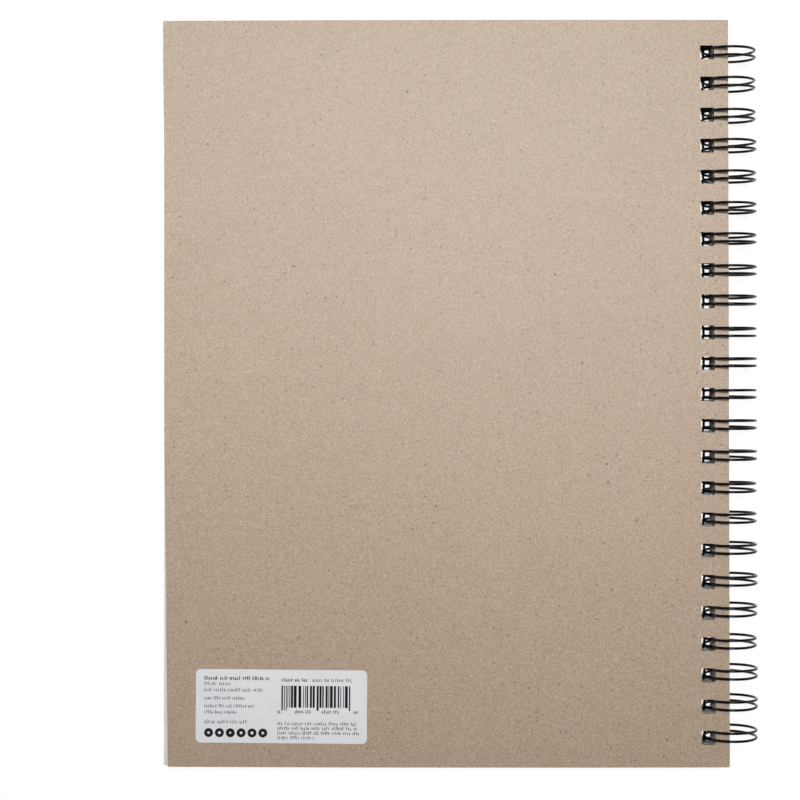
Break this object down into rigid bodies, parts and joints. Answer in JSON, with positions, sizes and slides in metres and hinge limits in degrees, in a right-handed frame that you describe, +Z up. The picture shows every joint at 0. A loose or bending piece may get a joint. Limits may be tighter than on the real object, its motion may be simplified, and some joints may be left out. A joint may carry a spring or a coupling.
{
  "type": "sketchbook",
  "caption": "Wire-bound sketchbook with plain chipboard covers, loose-turning sheets, a twin-loop wire along one long edge and a blank-pattern label on the back.",
  "frame": {"origin": "Middle of the footprint at table height, under the closed book lying on its front cover.", "axes": "+X points from the fore edge to the wire, +Y from the tail to the head, +Z up through the back cover."},
  "size_m": [0.243, 0.3048, 0.0224],
  "materials": {
    "chipboard": "uncoated kraft-brown chipboard, matte, mottled with fine fibres",
    "paper": "white uncoated drawing paper, matte, fine tooth",
    "wire": "black nylon-coated steel wire, glossy",
    "label": "smooth pale grey sticker paper, satin"
  },
  "bodies": {
    "front": {"front_cover": "chipboard"},
    "leaf_01": {"sheet_01": "paper"},
    "leaf_02": {"sheet_02": "paper"},
    "leaf_03": {"sheet_03": "paper"},
    "leaf_04": {"sheet_04": "paper"},
    "leaf_05": {"sheet_05": "paper"},
    "leaf_06": {"sheet_06": "paper"},
    "leaf_07": {"sheet_07": "paper"},
    "leaf_08": {"sheet_08": "paper"},
    "leaf_09": {"sheet_09": "paper"},
    "leaf_10": {"sheet_10": "paper"},
    "leaf_11": {"sheet_11": "paper"},
    "leaf_12": {"sheet_12": "paper"},
    "leaf_13": {"sheet_13": "paper"},
    "leaf_14": {"sheet_14": "paper"},
    "leaf_15": {"sheet_15": "paper"},
    "leaf_16": {"sheet_16": "paper"},
    "leaf_17": {"sheet_17": "paper"},
    "leaf_18": {"sheet_18": "paper"},
    "leaf_19": {"sheet_19": "paper"},
    "leaf_20": {"sheet_20": "paper"},
    "leaf_21": {"sheet_21": "paper"},
    "leaf_22": {"sheet_22": "paper"},
    "leaf_23": {"sheet_23": "paper"},
    "leaf_24": {"sheet_24": "paper"},
    "leaf_25": {"sheet_25": "paper"},
    "leaf_26": {"sheet_26": "paper"},
    "leaf_27": {"sheet_27": "paper"},
    "leaf_28": {"sheet_28": "paper"},
    "leaf_29": {"sheet_29": "paper", "binding_wire": "wire"},
    "leaf_30": {"sheet_30": "paper"},
    "leaf_31": {"sheet_31": "paper"},
    "leaf_32": {"sheet_32": "paper"},
    "leaf_33": {"sheet_33": "paper"},
    "leaf_34": {"sheet_34": "paper"},
    "leaf_35": {"sheet_35": "paper"},
    "leaf_36": {"sheet_36": "paper"},
    "leaf_37": {"sheet_37": "paper"},
    "leaf_38": {"sheet_38": "paper"},
    "leaf_39": {"sheet_39": "paper"},
    "leaf_40": {"sheet_40": "paper"},
    "leaf_41": {"sheet_41": "paper"},
    "leaf_42": {"sheet_42": "paper"},
    "leaf_43": {"sheet_43": "paper"},
    "leaf_44": {"sheet_44": "paper"},
    "leaf_45": {"sheet_45": "paper"},
    "leaf_46": {"sheet_46": "paper"},
    "leaf_47": {"sheet_47": "paper"},
    "leaf_48": {"sheet_48": "paper"},
    "leaf_49": {"sheet_49": "paper"},
    "leaf_50": {"sheet_50": "paper"},
    "back": {"back_cover": "chipboard", "back_label": "label"}
  },
  "joints": [
    {"name": "leaf_01_turn", "type": "hinge", "parent": "front", "child": "leaf_01", "pos_m": [0.11027, 0, 0.0112], "axis": [0, 1, 0], "range_deg": [0, 180]},
    {"name": "leaf_02_turn", "type": "hinge", "parent": "leaf_01", "child": "leaf_02", "pos_m": [0.11027, 0, 0.0112], "axis": [0, 1, 0], "range_deg": [0, 180]},
    {"name": "leaf_03_turn", "type": "hinge", "parent": "leaf_02", "child": "leaf_03", "pos_m": [0.11027, 0, 0.0112], "axis": [0, 1, 0], "range_deg": [0, 180]},
    {"name": "leaf_04_turn", "type": "hinge", "parent": "leaf_03", "child": "leaf_04", "pos_m": [0.11027, 0, 0.0112], "axis": [0, 1, 0], "range_deg": [0, 180]},
    {"name": "leaf_05_turn", "type": "hinge", "parent": "leaf_04", "child": "leaf_05", "pos_m": [0.11027, 0, 0.0112], "axis": [0, 1, 0], "range_deg": [0, 180]},
    {"name": "leaf_06_turn", "type": "hinge", "parent": "leaf_05", "child": "leaf_06", "pos_m": [0.11027, 0, 0.0112], "axis": [0, 1, 0], "range_deg": [0, 180]},
    {"name": "leaf_07_turn", "type": "hinge", "parent": "leaf_06", "child": "leaf_07", "pos_m": [0.11027, 0, 0.0112], "axis": [0, 1, 0], "range_deg": [0, 180]},
    {"name": "leaf_08_turn", "type": "hinge", "parent": "leaf_07", "child": "leaf_08", "pos_m": [0.11027, 0, 0.0112], "axis": [0, 1, 0], "range_deg": [0, 180]},
    {"name": "leaf_09_turn", "type": "hinge", "parent": "leaf_08", "child": "leaf_09", "pos_m": [0.11027, 0, 0.0112], "axis": [0, 1, 0], "range_deg": [0, 180]},
    {"name": "leaf_10_turn", "type": "hinge", "parent": "leaf_09", "child": "leaf_10", "pos_m": [0.11027, 0, 0.0112], "axis": [0, 1, 0], "range_deg": [0, 180]},
    {"name": "leaf_11_turn", "type": "hinge", "parent": "leaf_10", "child": "leaf_11", "pos_m": [0.11027, 0, 0.0112], "axis": [0, 1, 0], "range_deg": [0, 180]},
    {"name": "leaf_12_turn", "type": "hinge", "parent": "leaf_11", "child": "leaf_12", "pos_m": [0.11027, 0, 0.0112], "axis": [0, 1, 0], "range_deg": [0, 180]},
    {"name": "leaf_13_turn", "type": "hinge", "parent": "leaf_12", "child": "leaf_13", "pos_m": [0.11027, 0, 0.0112], "axis": [0, 1, 0], "range_deg": [0, 180]},
    {"name": "leaf_14_turn", "type": "hinge", "parent": "leaf_13", "child": "leaf_14", "pos_m": [0.11027, 0, 0.0112], "axis": [0, 1, 0], "range_deg": [0, 180]},
    {"name": "leaf_15_turn", "type": "hinge", "parent": "leaf_14", "child": "leaf_15", "pos_m": [0.11027, 0, 0.0112], "axis": [0, 1, 0], "range_deg": [0, 180]},
    {"name": "leaf_16_turn", "type": "hinge", "parent": "leaf_15", "child": "leaf_16", "pos_m": [0.11027, 0, 0.0112], "axis": [0, 1, 0], "range_deg": [0, 180]},
    {"name": "leaf_17_turn", "type": "hinge", "parent": "leaf_16", "child": "leaf_17", "pos_m": [0.11027, 0, 0.0112], "axis": [0, 1, 0], "range_deg": [0, 180]},
    {"name": "leaf_18_turn", "type": "hinge", "parent": "leaf_17", "child": "leaf_18", "pos_m": [0.11027, 0, 0.0112], "axis": [0, 1, 0], "range_deg": [0, 180]},
    {"name": "leaf_19_turn", "type": "hinge", "parent": "leaf_18", "child": "leaf_19", "pos_m": [0.11027, 0, 0.0112], "axis": [0, 1, 0], "range_deg": [0, 180]},
    {"name": "leaf_20_turn", "type": "hinge", "parent": "leaf_19", "child": "leaf_20", "pos_m": [0.11027, 0, 0.0112], "axis": [0, 1, 0], "range_deg": [0, 180]},
    {"name": "leaf_21_turn", "type": "hinge", "parent": "leaf_20", "child": "leaf_21", "pos_m": [0.11027, 0, 0.0112], "axis": [0, 1, 0], "range_deg": [0, 180]},
    {"name": "leaf_22_turn", "type": "hinge", "parent": "leaf_21", "child": "leaf_22", "pos_m": [0.11027, 0, 0.0112], "axis": [0, 1, 0], "range_deg": [0, 180]},
    {"name": "leaf_23_turn", "type": "hinge", "parent": "leaf_22", "child": "leaf_23", "pos_m": [0.11027, 0, 0.0112], "axis": [0, 1, 0], "range_deg": [0, 180]},
    {"name": "leaf_24_turn", "type": "hinge", "parent": "leaf_23", "child": "leaf_24", "pos_m": [0.11027, 0, 0.0112], "axis": [0, 1, 0], "range_deg": [0, 180]},
    {"name": "leaf_25_turn", "type": "hinge", "parent": "leaf_24", "child": "leaf_25", "pos_m": [0.11027, 0, 0.0112], "axis": [0, 1, 0], "range_deg": [0, 180]},
    {"name": "leaf_26_turn", "type": "hinge", "parent": "leaf_25", "child": "leaf_26", "pos_m": [0.11027, 0, 0.0112], "axis": [0, 1, 0], "range_deg": [0, 180]},
    {"name": "leaf_27_turn", "type": "hinge", "parent": "leaf_26", "child": "leaf_27", "pos_m": [0.11027, 0, 0.0112], "axis": [0, 1, 0], "range_deg": [0, 180]},
    {"name": "leaf_28_turn", "type": "hinge", "parent": "leaf_27", "child": "leaf_28", "pos_m": [0.11027, 0, 0.0112], "axis": [0, 1, 0], "range_deg": [0, 180]},
    {"name": "leaf_29_turn", "type": "hinge", "parent": "leaf_28", "child": "leaf_29", "pos_m": [0.11027, 0, 0.0112], "axis": [0, 1, 0], "range_deg": [0, 180]},
    {"name": "leaf_30_turn", "type": "hinge", "parent": "leaf_29", "child": "leaf_30", "pos_m": [0.11027, 0, 0.0112], "axis": [0, 1, 0], "range_deg": [0, 180]},
    {"name": "leaf_31_turn", "type": "hinge", "parent": "leaf_30", "child": "leaf_31", "pos_m": [0.11027, 0, 0.0112], "axis": [0, 1, 0], "range_deg": [0, 180]},
    {"name": "leaf_32_turn", "type": "hinge", "parent": "leaf_31", "child": "leaf_32", "pos_m": [0.11027, 0, 0.0112], "axis": [0, 1, 0], "range_deg": [0, 180]},
    {"name": "leaf_33_turn", "type": "hinge", "parent": "leaf_32", "child": "leaf_33", "pos_m": [0.11027, 0, 0.0112], "axis": [0, 1, 0], "range_deg": [0, 180]},
    {"name": "leaf_34_turn", "type": "hinge", "parent": "leaf_33", "child": "leaf_34", "pos_m": [0.11027, 0, 0.0112], "axis": [0, 1, 0], "range_deg": [0, 180]},
    {"name": "leaf_35_turn", "type": "hinge", "parent": "leaf_34", "child": "leaf_35", "pos_m": [0.11027, 0, 0.0112], "axis": [0, 1, 0], "range_deg": [0, 180]},
    {"name": "leaf_36_turn", "type": "hinge", "parent": "leaf_35", "child": "leaf_36", "pos_m": [0.11027, 0, 0.0112], "axis": [0, 1, 0], "range_deg": [0, 180]},
    {"name": "leaf_37_turn", "type": "hinge", "parent": "leaf_36", "child": "leaf_37", "pos_m": [0.11027, 0, 0.0112], "axis": [0, 1, 0], "range_deg": [0, 180]},
    {"name": "leaf_38_turn", "type": "hinge", "parent": "leaf_37", "child": "leaf_38", "pos_m": [0.11027, 0, 0.0112], "axis": [0, 1, 0], "range_deg": [0, 180]},
    {"name": "leaf_39_turn", "type": "hinge", "parent": "leaf_38", "child": "leaf_39", "pos_m": [0.11027, 0, 0.0112], "axis": [0, 1, 0], "range_deg": [0, 180]},
    {"name": "leaf_40_turn", "type": "hinge", "parent": "leaf_39", "child": "leaf_40", "pos_m": [0.11027, 0, 0.0112], "axis": [0, 1, 0], "range_deg": [0, 180]},
    {"name": "leaf_41_turn", "type": "hinge", "parent": "leaf_40", "child": "leaf_41", "pos_m": [0.11027, 0, 0.0112], "axis": [0, 1, 0], "range_deg": [0, 180]},
    {"name": "leaf_42_turn", "type": "hinge", "parent": "leaf_41", "child": "leaf_42", "pos_m": [0.11027, 0, 0.0112], "axis": [0, 1, 0], "range_deg": [0, 180]},
    {"name": "leaf_43_turn", "type": "hinge", "parent": "leaf_42", "child": "leaf_43", "pos_m": [0.11027, 0, 0.0112], "axis": [0, 1, 0], "range_deg": [0, 180]},
    {"name": "leaf_44_turn", "type": "hinge", "parent": "leaf_43", "child": "leaf_44", "pos_m": [0.11027, 0, 0.0112], "axis": [0, 1, 0], "range_deg": [0, 180]},
    {"name": "leaf_45_turn", "type": "hinge", "parent": "leaf_44", "child": "leaf_45", "pos_m": [0.11027, 0, 0.0112], "axis": [0, 1, 0], "range_deg": [0, 180]},
    {"name": "leaf_46_turn", "type": "hinge", "parent": "leaf_45", "child": "leaf_46", "pos_m": [0.11027, 0, 0.0112], "axis": [0, 1, 0], "range_deg": [0, 180]},
    {"name": "leaf_47_turn", "type": "hinge", "parent": "leaf_46", "child": "leaf_47", "pos_m": [0.11027, 0, 0.0112], "axis": [0, 1, 0], "range_deg": [0, 180]},
    {"name": "leaf_48_turn", "type": "hinge", "parent": "leaf_47", "child": "leaf_48", "pos_m": [0.11027, 0, 0.0112], "axis": [0, 1, 0], "range_deg": [0, 180]},
    {"name": "leaf_49_turn", "type": "hinge", "parent": "leaf_48", "child": "leaf_49", "pos_m": [0.11027, 0, 0.0112], "axis": [0, 1, 0], "range_deg": [0, 180]},
    {"name": "leaf_50_turn", "type": "hinge", "parent": "leaf_49", "child": "leaf_50", "pos_m": [0.11027, 0, 0.0112], "axis": [0, 1, 0], "range_deg": [0, 180]},
    {"name": "back_turn", "type": "hinge", "parent": "leaf_50", "child": "back", "pos_m": [0.11027, 0, 0.0112], "axis": [0, 1, 0], "range_deg": [0, 180]}
  ]
}
